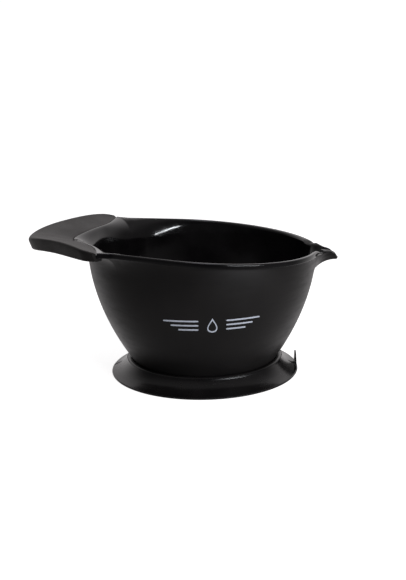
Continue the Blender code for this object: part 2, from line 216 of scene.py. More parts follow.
def smooth(t):
    """Ease from 0 to 1."""
    t = min(max(t, 0.0), 1.0)
    return t * t * (3.0 - 2.0 * t)


def spread(low, high, count):
    """Evenly spaced values, both ends included."""
    return [low + (high - low) * i / (count - 1) for i in range(count)]


def polar(radius, azimuth, z):
    """Point round the bowl's axis."""
    a = math.radians(azimuth)
    return Vector((radius * math.cos(a), radius * math.sin(a), z))


def arc(centre, radius, start, end, count):
    """Points of an arc in a section, as (distance outwards, height)."""
    angles = [math.radians(a) for a in spread(start, end, count)]
    return [(centre[0] + radius * math.cos(a), centre[1] + radius * math.sin(a)) for a in angles]


def catmull(points, s, first, last):
    """Point at s from 0 to 1 on a smooth curve through points; first and last guide its ends."""
    knots = [first] + [Vector(p) for p in points] + [last]
    place = s * (len(points) - 1)
    i = min(int(place), len(points) - 2)
    t = place - i
    a, b, c, d = knots[i:i + 4]
    return 0.5 * (2.0 * b + (c - a) * t + (2.0 * a - 5.0 * b + 4.0 * c - d) * t ** 2
                  + (3.0 * b - a - 3.0 * c + d) * t ** 3)


def through(points, count):
    """Points on a smooth curve through points that runs straight on at both ends."""
    first = Vector(points[0]) * 2.0 - Vector(points[1])
    last = Vector(points[-1]) * 2.0 - Vector(points[-2])
    return [tuple(catmull(points, s, first, last)) for s in spread(0.0, 1.0, count)]


def off_handle(azimuth):
    """Degrees from the middle of the handle."""
    return abs(180.0 - azimuth % 360.0)


def off_spout(azimuth):
    """Degrees from the middle of the spout."""
    return 180.0 - off_handle(azimuth)


def hump(azimuth, width, power=2.0):
    """1 in the middle of the handle, falling away to both sides."""
    return math.exp(-(off_handle(azimuth) / width) ** power)


def wall_radius(z):
    """Outer radius of the bowl's wall."""
    return WALL_R - (WALL_Z - z) ** 2 / WALL_CURVE


def inner_radius(z):
    """Inner radius of the bowl's wall."""
    slope = 2.0 * (WALL_Z - z) / WALL_CURVE
    return wall_radius(z) - WALL * math.hypot(1.0, slope)


def rim_radius(azimuth):
    """Outer radius of the rim, which flares towards the handle."""
    flare = max((off_spout(azimuth) - FLARE_START) / FLARE_SPAN, 0.0)
    corner = max((off_spout(azimuth) - CORNER_START) / CORNER_SPAN, 0.0)
    return RIM_R + FLARE * flare ** 2 + CORNER * corner ** CORNER_POWER


def flare_share(azimuth):
    """0 on the round part of the rim, 1 where its inner edge is fully rounded."""
    return smooth((off_spout(azimuth) - FLARE_ROUND_START) / (FLARE_ROUND_END - FLARE_ROUND_START))


def crest_width(azimuth):
    """Distance from the rim's outer edge to where its inner edge starts to round."""
    return RIM_FLAT + (FLARE_CREST - RIM_FLAT) * flare_share(azimuth)


def rim_height(azimuth):
    """Height of the rim's crest."""
    return RIM_Z + RIM_SLOPE * polar(rim_radius(azimuth), azimuth, 0.0).x


def shoulder(azimuth):
    """How far the nose has turned out to meet the rim, 1 where the handle starts."""
    turned = max(off_handle(azimuth) - (180.0 - SHOULDER_END), 0.0) / (SHOULDER_END - HANDLE_START)
    return turned ** 2


def nose_radius(azimuth):
    """Line where the bowl's lip meets the grip."""
    point = NOSE_POINT * hump(azimuth, NOSE_SPREAD)
    return NOSE_R + point + SHOULDER_RISE * shoulder(azimuth)


def nose_height(azimuth):
    """Height of that line."""
    dip = NOSE_DIP * hump(azimuth, NOSE_SPREAD)
    return NOSE_Z - dip + NOSE_RISE * shoulder(azimuth)


def grip_radius(azimuth):
    """Outline of the grip."""
    cut = max(off_handle(azimuth) - (180.0 - GRIP_SHOULDER), 0.0) / GRIP_SHOULDER_SPAN
    tip = GRIP_TIP * hump(azimuth, GRIP_TIP_SPREAD, GRIP_TIP_POWER)
    return GRIP_R + tip - GRIP_SHOULDER_CUT * cut ** 2


def grip_crest(azimuth):
    """Height of the grip's upper edge."""
    along = polar(grip_radius(azimuth), azimuth, 0.0).x - GRIP_CREST_X
    return GRIP_CREST_Z - along ** 2 / (GRIP_TIP_CURVE if along < 0.0 else GRIP_CREST_CURVE)


def grip_bottom(azimuth):
    """Height of the grip's underside."""
    return GRIP_BOTTOM_Z - GRIP_TIP_DROP * hump(azimuth, NOSE_SPREAD)


def core_radius(azimuth):
    """Outline of the handle's core plate."""
    return max(grip_radius(azimuth) - CORE_INSET, nose_radius(azimuth) + CORE_MARGIN)


def is_handle(azimuth):
    """True where the handle's core leaves the bowl."""
    return off_handle(azimuth) < 180.0 - HANDLE_START + HANDLE_TOLERANCE


def is_spout(azimuth):
    """True where the wall turns out into the spout."""
    return off_handle(azimuth) > 180.0 - SPOUT_AZIMUTH


def ramp(azimuth, z):
    """How far the wall has turned outwards at height z, from the bowl's inside up to its lip."""
    if is_handle(azimuth):
        lip, crest, drop = nose_radius(azimuth) - NOSE_FLAT, nose_height(azimuth), NOSE_DROP
    else:
        lip, crest = rim_radius(azimuth) - crest_width(azimuth), rim_height(azimuth) - RIM_LIP_DROP
        drop = RIM_ROUND + (FLARE_DROP - RIM_ROUND) * flare_share(azimuth)
    rise = min(max(z - (crest - drop), 0.0) / drop, 1.0)
    return (lip - inner_radius(z)) * (1.0 - math.sqrt(1.0 - rise ** 2))


def spout_lip(azimuth):
    """Outer edge of the spout's lip, for a column whose wall stands at this azimuth."""
    side = -1.0 if azimuth % 360.0 > 180.0 else 1.0
    first = Vector((SPOUT_LIP[1][0], -SPOUT_LIP[1][1], SPOUT_LIP[1][2]))
    last = Vector(SPOUT_LIP[-1]) * 2.0 - Vector(SPOUT_LIP[-2])
    point = catmull(SPOUT_LIP, off_spout(azimuth) / SPOUT_AZIMUTH, first, last)
    return Vector((point.x, side * point.y, point.z))


def outer_wall(azimuth, t):
    """Outer surface above LOFT_Z, t from 0 there to 1 under the rim, core or spout lip."""
    if is_spout(azimuth):
        return spout_wall(azimuth, t).lerp(plain_wall(azimuth, t), spout_ease(azimuth))
    return plain_wall(azimuth, t)


def spout_ease(azimuth):
    """0 on the spout, 1 where it has eased into the plain wall."""
    place = off_spout(azimuth) / SPOUT_AZIMUTH
    return smooth((place - SPOUT_BLEND) / (1.0 - SPOUT_BLEND))


def bead_share(azimuth):
    """0 at the spout's tip, 1 where its edge has turned into the rim's bead."""
    return smooth(off_spout(azimuth) / SPOUT_AZIMUTH)


def spout_wall(azimuth, t):
    """Outer surface of the spout, which turns out at SPOUT_START and ends almost level."""
    lip = spout_lip(azimuth)
    share = bead_share(azimuth)
    radial = Vector((lip.x, lip.y, 0.0)).normalized()
    lip = lip - radial * (RIM_R - WALL_R) * share - Vector((0.0, 0.0, BEAD_DROP * share))
    turned = max((t - SPOUT_START) / (1.0 - SPOUT_START), 0.0)
    rise = 1.0 - (1.0 - turned) ** SPOUT_LEVEL
    z = LOFT_Z + (lip.z - LOFT_Z) * (min(t, SPOUT_START) + (1.0 - SPOUT_START) * rise)
    base = polar(wall_radius(z), azimuth, z)
    out = turned ** SPOUT_TURN
    return Vector((base.x + (lip.x - base.x) * out, base.y + (lip.y - base.y) * out, z))


def plain_wall(azimuth, t):
    """Outer surface away from the spout."""
    if is_handle(azimuth):
        top = nose_height(azimuth) - CORE_STEP - CORE_THICKNESS
    else:
        top = rim_height(azimuth) - BEAD_DROP
    z = LOFT_Z + (top - LOFT_Z) * t
    return polar(wall_radius(z) + ramp(azimuth, z + RAMP_LAG), azimuth, z)


def wall_frame(azimuth, t):
    """Point of the outer wall, its outward normal and its upward tangent."""
    low = max(t - TANGENT_STEP, 0.0)
    here = outer_wall(azimuth, t)
    up = (outer_wall(azimuth, low + TANGENT_STEP) - outer_wall(azimuth, low)).normalized()
    around = outer_wall(azimuth + AROUND_STEP, t) - outer_wall(azimuth - AROUND_STEP, t)
    return here, around.cross(up).normalized(), up


# ---------------------------------------------------------------- mesh helpers

def new_object(name, bm, materials):
    """Link a bmesh drawn in millimetres round the bowl's axis as an object in the frame."""
    bmesh.ops.translate(bm, vec=(AXIS_X, 0.0, 0.0), verts=bm.verts)
    bmesh.ops.scale(bm, vec=(MM, MM, MM), verts=bm.verts)
    bmesh.ops.recalc_face_normals(bm, faces=bm.faces)
    mesh = bpy.data.meshes.new(name)
    bm.to_mesh(mesh)
    bm.free()
    mesh.shade_smooth()
    mesh.set_sharp_from_angle(angle=math.radians(SHARP_ANGLE))
    for each in materials:
        mesh.materials.append(each)
    made = bpy.data.objects.new(name, mesh)
    bpy.context.scene.collection.objects.link(made)
    return made


def skin(bm, columns, around, ring):
    """Skin columns of points. around closes the last column to the first, ring each on itself.

    Gives the vertices by column, and each face with its row.
    """
    rows = len(columns[0])
    verts = [[bm.verts.new(p) for p in column] for column in columns]
    faces = []
    for k in range(len(verts) if around else len(verts) - 1):
        left, right = verts[k], verts[(k + 1) % len(verts)]
        for i in range(rows if ring else rows - 1):
            j = (i + 1) % rows
            face = bm.faces.new((left[i], right[i], right[j], left[j]))
            faces.append((face, i))
    return verts, faces


def close_at(bm, verts, row, z):
    """Close one end of a turned skin with a fan to the axis."""
    centre = bm.verts.new((0.0, 0.0, z))
    return [bm.faces.new((centre, verts[i - 1][row], verts[i][row])) for i in range(len(verts))]


# ---------------------------------------------------------------- materials

class Surface:
    """A Principled material that is put together from procedural textures in object space."""

    def __init__(self, name, roughness, specular=0.5):
        """Roughness holds wherever no texture drives it."""
        self.material = bpy.data.materials.new(name)
        self.material.use_nodes = True
        self.tree = self.material.node_tree
        self.shader = self.tree.nodes["Principled BSDF"]
        self.shader.inputs["Roughness"].default_value = roughness
        self.shader.inputs["Specular IOR Level"].default_value = specular
        self.coordinates = self.tree.nodes.new("ShaderNodeTexCoord").outputs["Object"]

    def node(self, kind, inputs=(), **settings):
        """New node with its settings and its input values or links."""
        made = self.tree.nodes.new(kind)
        for key, value in settings.items():
            setattr(made, key, value)
        for key, value in dict(inputs).items():
            if isinstance(value, bpy.types.NodeSocket):
                self.tree.links.new(value, made.inputs[key])
            else:
                made.inputs[key].default_value = value
        return made

    def noise(self, size, detail=3.0, rough=0.5, stretch=(1.0, 1.0, 1.0)):
        """Noise whose features are about size millimetres across, stretched along the axes."""
        scale = tuple(1.0 / (size * MM * s) for s in stretch)
        moved = self.node("ShaderNodeMapping", {"Vector": self.coordinates, "Scale": scale})
        made = self.node("ShaderNodeTexNoise", {"Vector": moved.outputs[0], "Scale": 1.0,
                                                "Detail": detail, "Roughness": rough})
        return made.outputs["Fac"]

    def remap(self, value, low, high, from_low=0.3, from_high=0.7):
        """Value mapped to the range low to high."""
        made = self.node("ShaderNodeMapRange", {"Value": value, "From Min": from_low, "From Max": from_high,
                                                "To Min": low, "To Max": high})
        return made.outputs[0]

    def add(self, a, b):
        """Sum of two values."""
        return self.node("ShaderNodeMath", {0: a, 1: b}, operation="ADD").outputs[0]

    def colours(self, value, stops):
        """Colour ramp over a value."""
        made = self.tree.nodes.new("ShaderNodeValToRGB")
        ramp_elements = made.color_ramp.elements
        while len(ramp_elements) < len(stops):
            ramp_elements.new(0.5)
        for element, (place, colour) in zip(ramp_elements, stops):
            element.position = place
            element.color = (*colour, 1.0)
        self.tree.links.new(value, made.inputs["Fac"])
        return made.outputs["Color"]

    def dusted(self, base, cover, colour):
        """Base colour with a pale dust added where cover rises to 1."""
        mixed = self.node("ShaderNodeMix", data_type="RGBA", blend_type="ADD")
        self.tree.links.new(cover, mixed.inputs["Factor"])
        self.tree.links.new(base, mixed.inputs["A"])
        mixed.inputs["B"].default_value = (*colour, 1.0)
        return mixed.outputs["Result"]

    def link(self, value, socket):
        """Drive one of the shader's sockets."""
        self.tree.links.new(value, self.shader.inputs[socket])

    def bump(self, layers):
        """Bumps on one another, each (height, distance in millimetres, strength)."""
        normal = None
        for height, distance, strength in layers:
            inputs = {"Height": height, "Distance": distance * MM, "Strength": strength}
            if normal is not None:
                inputs["Normal"] = normal
            normal = self.node("ShaderNodeBump", inputs).outputs[0]
        self.link(normal, "Normal")


def satin_plastic():
    """Outside of the bowl: fine spark-eroded texture, with handling scuffs."""
    s = Surface("bowl_outside_satin", 0.46, specular=0.32)
    cloud = s.noise(28.0, detail=4.0)
    grain = s.noise(0.34, detail=2.0)
    scuff = s.noise(5.0, detail=6.0, rough=0.7, stretch=(3.0, 3.0, 0.6))
    base = s.colours(cloud, ((0.3, (0.0105, 0.0098, 0.0098)), (0.7, (0.0165, 0.0152, 0.0150))))
    s.link(base, "Base Color")
    rough = s.add(s.remap(cloud, 0.40, 0.48), s.remap(scuff, -0.03, 0.07, 0.45, 0.75))
    s.link(s.add(rough, s.remap(grain, -0.03, 0.03)), "Roughness")
    s.bump(((grain, 0.03, 0.35), (cloud, 0.4, 0.12)))
    return s.material


def gloss_plastic():
    """Inside, rim and spout channel of the bowl: polished, with faint smears and flow waviness."""
    s = Surface("bowl_inside_gloss", 0.16, specular=0.5)
    wave = s.noise(34.0, detail=2.0)
    smear = s.noise(9.0, detail=5.0, rough=0.65, stretch=(1.0, 2.5, 0.8))
    speck = s.noise(0.8, detail=2.0)
    base = s.colours(smear, ((0.3, (0.0040, 0.0038, 0.0042)), (0.75, (0.0075, 0.0072, 0.0076))))
    s.link(base, "Base Color")
    rough = s.add(s.remap(smear, 0.08, 0.14), s.remap(speck, 0.0, 0.05, 0.55, 0.8))
    s.link(rough, "Roughness")
    s.bump(((wave, 0.5, 0.10), (speck, 0.004, 0.10)))
    return s.material


def grip_elastomer(name, specular, painted_shade_scale):
    """Soft-touch grip: matte, with a fine grain and rubbed patches. The last argument scales its warm dark
    grey; below 1 it makes a darker copy that paints shade.
    """
    s = Surface(name, 0.56, specular=specular)
    s.shader.inputs["Sheen Weight"].default_value = 0.06
    s.shader.inputs["Sheen Roughness"].default_value = 0.45
    s.shader.inputs["Sheen Tint"].default_value = (0.75, 0.70, 0.66, 1.0)
    patch = s.noise(11.0, detail=4.0, rough=0.6)
    grain = s.noise(0.42, detail=3.0, rough=0.6)
    dust = s.noise(1.3, detail=5.0, rough=0.8)
    low = tuple(painted_shade_scale * c for c in (0.015, 0.0135, 0.013))
    high = tuple(painted_shade_scale * c for c in (0.021, 0.0187, 0.0178))
    base = s.colours(patch, ((0.3, low), (0.7, high)))
    cover = s.remap(dust, 0.0, 0.30, 0.55, 0.85)
    s.link(s.dusted(base, cover, (0.03, 0.027, 0.025)), "Base Color")
    s.link(s.add(s.remap(patch, 0.50, 0.61), s.remap(grain, -0.05, 0.05)), "Roughness")
    s.bump(((grain, 0.05, 0.5), (patch, 0.3, 0.10)))
    return s.material


def base_rubber(name):
    """Soft rubber: satin, with faint rings from its mould and lighter dust."""
    s = Surface(name, 0.42, specular=0.42)
    centre = s.node("ShaderNodeMapping", {"Vector": s.coordinates, "Location": (-AXIS_X * MM, 0.0, 0.0)})
    rings = s.node("ShaderNodeTexWave", {"Vector": centre.outputs[0], "Scale": 1.0 / (9.0 * MM),
                                         "Distortion": 0.6, "Detail": 2.0},
                   wave_type="RINGS", rings_direction="Z")
    cloud = s.noise(13.0, detail=4.0)
    dust = s.noise(0.9, detail=6.0, rough=0.8)
    base = s.colours(cloud, ((0.3, (0.0048, 0.0045, 0.0048)), (0.7, (0.0080, 0.0075, 0.0078))))
    cover = s.remap(dust, 0.0, 0.35, 0.6, 0.85)
    s.link(s.dusted(base, cover, (0.03, 0.028, 0.027)), "Base Color")
    s.link(s.add(s.remap(cloud, 0.20, 0.28), s.remap(dust, 0.0, 0.08, 0.5, 0.8)), "Roughness")
    s.bump(((rings.outputs["Fac"], 0.02, 0.25), (s.noise(0.5, detail=2.0), 0.02, 0.25)))
    return s.material


def print_ink():
    """Pale printing ink with slightly uneven cover."""
    s = Surface("pale_ink", 0.42, specular=0.45)
    cover = s.noise(0.7, detail=4.0, rough=0.7)
    s.link(s.colours(cover, ((0.3, (0.66, 0.72, 0.84)), (0.6, (0.80, 0.86, 0.97)))), "Base Color")
    s.link(s.remap(cover, 0.36, 0.5), "Roughness")
    s.bump(((cover, 0.01, 0.3),))
    return s.material


def floor_paper():
    """Plain pale studio paper."""
    s = Surface("studio_paper", 0.9, specular=0.1)
    fibre = s.noise(3.0, detail=3.0)
    s.link(s.colours(fibre, ((0.3, (0.80, 0.80, 0.80)), (0.7, (0.83, 0.83, 0.83)))), "Base Color")
    s.shader.inputs["Emission Color"].default_value = (1.0, 1.0, 1.0, 1.0)
    s.shader.inputs["Emission Strength"].default_value = 0.80
    return s.material


# ---------------------------------------------------------------- bowl

SPOUT_COLUMNS = 36              # columns over half of each stretch
RIM_COLUMNS = 72
FLARE_COLUMNS = 34
HANDLE_COLUMNS = 52


def bowl_columns():
    """Azimuths of the bowl's columns, once round, with a step where the handle starts."""
    half = spread(0.0, SPOUT_AZIMUTH, SPOUT_COLUMNS)[:-1]
    half += spread(SPOUT_AZIMUTH, FLARE_START, RIM_COLUMNS)[:-1]
    half += spread(FLARE_START, HANDLE_START - HANDLE_STEP, FLARE_COLUMNS)
    half += spread(HANDLE_START, 180.0, HANDLE_COLUMNS)
    return half + [360.0 - a for a in reversed(half[1:-1])]


def bead_profile():
    """Beaded rim from the wall to the inner edge, as (out from the rim's radius, up from its crest)."""
    wall = WALL_R - RIM_R
    fillet = arc((wall + BEAD_FILLET, -BEAD_DROP - BEAD_FILLET), BEAD_FILLET, 180.0, 90.0, 4)
    under = arc((-BEAD_FILLET, -BEAD_DROP + BEAD_FILLET), BEAD_FILLET, -90.0, 0.0, 4)
    outer = arc((-BEAD_ROUND, -BEAD_ROUND), BEAD_ROUND, 0.0, 90.0, 8)
    return fillet[1:] + under + outer


BEAD = bead_profile()


def core_section(azimuth):
    """Handle core plate and the nose above it, with as many points as the bead has."""
    core = core_radius(azimuth)
    nose = nose_radius(azimuth)
    z = nose_height(azimuth)
    top = z - CORE_STEP
    plate = [(core, top - CORE_THICKNESS), (core, top), (nose, top)]
    edge = arc((nose - NOSE_EDGE, z - NOSE_EDGE), NOSE_EDGE, 0.0, 90.0, 6) + [(nose - NOSE_FLAT, z)]
    extra = len(BEAD) + 1 - len(plate) - len(edge)
    spare = spread(core - CORE_MARGIN, core, extra + 2)[1:-1]
    below = [(radius, top - CORE_THICKNESS) for radius in spare]
    return [polar(radius, azimuth, height) for radius, height in below + plate + edge]


def spout_edge(azimuth):
    """Half-round edge of the spout's lip, which turns into the rim's bead towards the spout's start."""
    here, normal, up = wall_frame(azimuth, 1.0)
    share = bead_share(azimuth)
    rim = BEAD + [(-RIM_FLAT, -RIM_LIP_DROP)]
    steps = [math.dist(a, b) for a, b in zip(rim, rim[1:])]
    points = []
    for i, (out, rise) in enumerate(rim):
        angle = math.pi * sum(steps[:i]) / sum(steps)
        round_edge = Vector((math.cos(angle) - 1.0, math.sin(angle))) * (WALL / 2.0)
        bead = Vector((out + RIM_R - WALL_R, rise + BEAD_DROP))
        x, y = round_edge.lerp(bead, share)
        points.append(here + normal * x + up * y)
    return points


def lip_section(azimuth):
    """Points between the outer wall and the inner wall."""
    if is_handle(azimuth):
        return core_section(azimuth)
    r, z = rim_radius(azimuth), rim_height(azimuth)
    rim = BEAD + [(-crest_width(azimuth), -RIM_LIP_DROP)]
    plain = [polar(r + out, azimuth, z + up) for out, up in rim]
    if not is_spout(azimuth):
        return plain
    return [e.lerp(p, spout_ease(azimuth)) for e, p in zip(spout_edge(azimuth), plain)]


def inner_wall(azimuth, levels):
    """Inner surface from the lip down to LOFT_Z."""
    top = nose_height(azimuth) if is_handle(azimuth) else rim_height(azimuth) - RIM_LIP_DROP
    heights = [top + (LOFT_Z - top) * level for level in levels]
    plain = [polar(inner_radius(z) + ramp(azimuth, z), azimuth, z) for z in heights]
    if not is_spout(azimuth):
        return plain
    points = []
    for level, p in zip(levels, plain):
        here, normal = wall_frame(azimuth, 1.0 - level)[:2]
        points.append((here - normal * WALL).lerp(p, spout_ease(azimuth)))
    return points


OUTER_CROWDING = 1.5            # how much the mesh's rows crowd towards the lip, outside and inside
INNER_CROWDING = 1.7
OUTER_HEIGHTS = spread(FOOT_Z + FOOT_CHAMFER, LOFT_Z, 16)[:-1]
OUTER_LEVELS = [1.0 - (1.0 - s) ** OUTER_CROWDING for s in spread(0.0, 1.0, 24)]
INNER_LEVELS = [s ** INNER_CROWDING for s in spread(0.0, 1.0, 30)][1:]
FOOT_ROWS = 3


def bowl_section(azimuth):
    """One column of the bowl, from the underside round the rim to the floor."""
    foot = wall_radius(FOOT_Z)
    ring = ((foot - FOOT_WIDTH, UNDERSIDE_Z), (foot - FOOT_WIDTH, FOOT_Z), (foot - FOOT_CHAMFER, FOOT_Z))
    points = [polar(r, azimuth, z) for r, z in ring]
    points += [polar(wall_radius(z), azimuth, z) for z in OUTER_HEIGHTS]
    points += [outer_wall(azimuth, t) for t in OUTER_LEVELS]
    points += lip_section(azimuth)
    points += inner_wall(azimuth, INNER_LEVELS)
    step = ((STEP_Z + STEP_HEIGHT, 0.0), (STEP_Z, STEP_DEPTH))
    heights = spread(LOFT_Z, STEP_Z + STEP_MARGIN, 5)[1:]
    points += [polar(inner_radius(z), azimuth, z) for z in heights]
    points += [polar(inner_radius(z) - inward, azimuth, z) for z, inward in step]
    for z in spread(STEP_Z - STEP_MARGIN, FLOOR_Z + FLOOR_FILLET, 10):
        inward = STEP_DEPTH * smooth((z - STEP_FADE_Z) / (STEP_Z - STEP_FADE_Z))
        points.append(polar(inner_radius(z) - inward, azimuth, z))
    corner = inner_radius(FLOOR_Z + FLOOR_FILLET) - FLOOR_FILLET
    fillet = arc((corner, FLOOR_Z + FLOOR_FILLET), FLOOR_FILLET, 0.0, -90.0, 9)[1:]
    fillet += [(corner * share, FLOOR_Z) for share in FLOOR_RINGS]
    return points + [polar(radius, azimuth, z) for radius, z in fillet]


def make_bowl(satin, gloss):
    """Bowl, spout, beaded rim and handle core in one moulding."""
    bm = bmesh.new()
    verts, faces = skin(bm, [bowl_section(a) for a in bowl_columns()], around=True, ring=False)
    outside_rows = FOOT_ROWS + len(OUTER_HEIGHTS) + len(OUTER_LEVELS)
    for face, row in faces:
        face.material_index = 0 if row < outside_rows + 1 else 1
    close_at(bm, verts, 0, UNDERSIDE_Z)
    for face in close_at(bm, verts, -1, FLOOR_Z):
        face.material_index = 1
    made = new_object("bowl_moulding", bm, (satin, gloss))
    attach(made, "bowl")
    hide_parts("bowl_shell")


# ---------------------------------------------------------------- grip

GRIP_COLUMNS = 150
GRIP_TOP_ROWS = 15
GRIP_TOP_START = 0.04           # share of the top's width where its first row lies
GRIP_TOP_POWER = 1.5            # how late the top rises from the bowl's lip
GRIP_SIDE_LEVELS = (0.2, 0.4, 0.6, 0.8)                 # rows of the mesh down the side


def grip_section(azimuth):
    """One closed section of the grip, a C that holds the handle's core plate."""
    nose = nose_radius(azimuth) + GAP
    core = core_radius(azimuth) + GAP
    outline = grip_radius(azimuth)
    low = nose_height(azimuth)
    high = grip_crest(azimuth)
    bottom = grip_bottom(azimuth)
    slot_top = low - CORE_STEP + GAP
    slot_bottom = low - CORE_STEP - CORE_THICKNESS - GAP
    inside = outer_wall(azimuth, 1.0).xy.length + GAP
    crown = GRIP_CROWN * hump(azimuth, GRIP_TIP_SPREAD)
    edge = GRIP_EDGE + GRIP_TIP_EDGE * hump(azimuth, GRIP_TIP_EDGE_SPREAD)
    width = outline - edge - nose
    shape = arc((nose + GRIP_NOSE_EDGE, low - GRIP_NOSE_EDGE), GRIP_NOSE_EDGE, 180.0, 100.0, 4)
    for s in spread(GRIP_TOP_START, 1.0, GRIP_TOP_ROWS):
        z = low + (high - low) * s ** GRIP_TOP_POWER + crown * math.sin(math.pi * s)
        shape.append((nose + width * s, z))
    shape += arc((outline - edge, high - edge), edge, 60.0, 0.0, 6)
    foot = outline - GRIP_LEAN
    for s in GRIP_SIDE_LEVELS:
        z = high - edge + (bottom + GRIP_FOOT - high + edge) * s
        shape.append((outline - GRIP_LEAN * s ** GRIP_LEAN_POWER, z))
    shape += arc((foot - GRIP_FOOT, bottom + GRIP_FOOT), GRIP_FOOT, 0.0, -90.0, 7)
    shape += [(inside, bottom), (inside, slot_bottom)]
    shape += [(core, slot_bottom), (core, slot_top), (nose, slot_top)]
    return [polar(radius, azimuth, z) for radius, z in shape]


def make_grip(top, side):
    """Soft grip round the handle's core; faces that lean down get the side's material, with shade painted
    into its colour.
    """
    bm = bmesh.new()
    columns = [grip_section(a) for a in spread(GRIP_START, 360.0 - GRIP_START, GRIP_COLUMNS)]
    verts = skin(bm, columns, around=False, ring=True)[0]
    bm.faces.new(verts[0])
    bm.faces.new(verts[-1])
    made = new_object("thumb_grip", bm, (top, side))
    # faces that lean down take the darker copy of the grip material: painted shade on the side
    for face in made.data.polygons:
        face.material_index = int(face.normal.z < GRIP_SIDE_TILT)
    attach(made, "bowl")
    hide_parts("handle_grip")


# ---------------------------------------------------------------- base and tab

CUP_COLUMNS = 240


def cup_profile():
    """Section of the suction base, from its underside to its socket's floor."""
    lip = arc((CUP_R - CUP_LIP, CUP_LIP), CUP_LIP, -90.0, CUP_LIP_END, 8)
    flank = through(CUP_FLANK, 26)
    top = wall_radius(CUP_COLLAR_Z) + GAP
    corner = (top + CUP_COLLAR - COLLAR_ROUND, CUP_COLLAR_Z - COLLAR_ROUND)
    collar = arc(corner, COLLAR_ROUND, COLLAR_SLANT, 90.0, 8)
    collar += [(top + COLLAR_CHAMFER, CUP_COLLAR_Z), (top, CUP_COLLAR_Z - COLLAR_CHAMFER)]
    socket = [(wall_radius(FOOT_Z) + 2.0 * GAP, FOOT_Z - GAP)]
    return list(CUP_UNDERSIDE) + lip + flank + collar + socket


def mark_depth(radius, azimuth, z):
    """How deep a radial notch cuts into the flange's top."""
    if z < MARK_LOWEST or radius < CUP_R - MARK_LENGTH:
        return 0.0
    depth = 0.0
    for mark in MARKS:
        across = math.radians((azimuth - mark + 180.0) % 360.0 - 180.0) * radius
        depth = max(depth, 1.0 - abs(across) / MARK_WIDTH)
    return MARK_DEPTH * depth * smooth((radius - CUP_R + MARK_LENGTH) / MARK_FADE)


def cup_azimuths():
    """Even columns, with closer ones across the two notches."""
    even = [360.0 * i / CUP_COLUMNS for i in range(CUP_COLUMNS)]
    close = [(mark + step) % 360.0 for mark in MARKS for step in MARK_STEPS]
    apart = [a for a in even if all(abs((a - c + 180.0) % 360.0 - 180.0) > MARK_APART for c in close)]
    return sorted(apart + close)


def make_base(surface):
    """Suction base: a concave bell with a collar round the bowl's foot."""
    bm = bmesh.new()
    profile = cup_profile()
    columns = []
    for azimuth in cup_azimuths():
        columns.append([polar(r, azimuth, z - mark_depth(r, azimuth, z)) for r, z in profile])
    verts = skin(bm, columns, around=True, ring=False)[0]
    close_at(bm, verts, 0, CUP_HOLLOW_Z)
    close_at(bm, verts, -1, FOOT_Z - GAP)
    made = new_object("suction_base", bm, (surface,))
    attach(made, "suction_base")
    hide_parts("suction_cup")


TAB_COLUMNS = 40


def tab_section(angle):
    """Rounded section of the blade at one place along its width."""
    y = TAB_HALF_WIDTH * math.cos(angle)
    height = (TAB_HEIGHT - TAB_TOP_RADIUS) * math.sin(angle) ** TAB_SQUARENESS
    thin = TAB_ROOT_RADIUS + (TAB_TOP_RADIUS - TAB_ROOT_RADIUS) * height / TAB_HEIGHT
    root = arc((0.0, 0.0), TAB_ROOT_RADIUS, -180.0, 0.0, TAB_ROUND_POINTS)
    top = arc((0.0, height), thin, 0.0, 180.0, TAB_ROUND_POINTS)
    return [Vector((x, y, z)) for x, z in root + top]


def make_tab(surface):
    """Release tab: a rounded blade on a round root that lies on its bending line."""
    bm = bmesh.new()
    columns = [tab_section(a) for a in spread(0.0, math.pi, TAB_COLUMNS)]
    verts = skin(bm, columns, around=False, ring=True)[0]
    bm.faces.new(verts[0])
    bm.faces.new(verts[-1])
    turn = Matrix.Rotation(math.radians(TAB_AZIMUTH), 4, "Z")
    place = Matrix.Translation(polar(TAB_R, TAB_AZIMUTH, TAB_ROOT_Z))
    bmesh.ops.transform(bm, matrix=place @ turn, verts=bm.verts)
    made = new_object("pull_tab", bm, (surface,))
    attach(made, "tab")
    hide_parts("release_tab")


# ---------------------------------------------------------------- printed mark

def on_wall(along, up, lift):
    """Point of the printed mark, along and up from its middle, lifted off the wall."""
    slope = 2.0 * (WALL_Z - PRINT_Z) / WALL_CURVE
    z = PRINT_Z + up / math.hypot(1.0, slope)
    radius = wall_radius(z)
    return polar(radius + lift, PRINT_AZIMUTH + math.degrees(along / radius), z - lift * slope)


def ink_strip(bm, left, right):
    """Film of ink between two outlines with the same number of points."""
    lifts = (-PRINT_LIFT, PRINT_LIFT)
    columns = []
    for (a, b), (c, d) in zip(left, right):
        low_a, high_a = (on_wall(a, b, lift) for lift in lifts)
        low_c, high_c = (on_wall(c, d, lift) for lift in lifts)
        columns.append([low_a, high_a, high_c, low_c])
    closed = left[0] == left[-1]
    if closed:
        columns = columns[:-1]
    verts = skin(bm, columns, around=closed, ring=True)[0]
    if not closed:
        bm.faces.new(verts[0])
        bm.faces.new(verts[-1])


def droplet(inset):
    """Outline of a drop, once round, closed."""
    points = []
    for a in spread(0.0, 2.0 * math.pi, DROP_POINTS)[:-1]:
        x = (DROP_HALF_WIDTH - inset) * math.sin(a) * math.sin(a / 2.0) ** DROP_POINT
        y = (DROP_HALF_HEIGHT - inset * DROP_INSET_HEIGHT) * math.cos(a) - inset * DROP_INSET_SHIFT
        points.append((x, y))
    return points + points[:1]


def rule(side, up, length):
    """Both edges of a thin rule with round ends."""
    half = INK_STROKE / 2.0
    upper, lower = [], []
    for s in spread(0.0, 1.0, RULE_POINTS):
        along = RULE_START + length * s
        end = min(along - RULE_START, RULE_START + length - along, half)
        wide = RULE_END + math.sqrt(max(half ** 2 - (half - end) ** 2, 0.0))
        upper.append((side * along, up + wide))
        lower.append((side * along, up - wide))
    return upper, lower


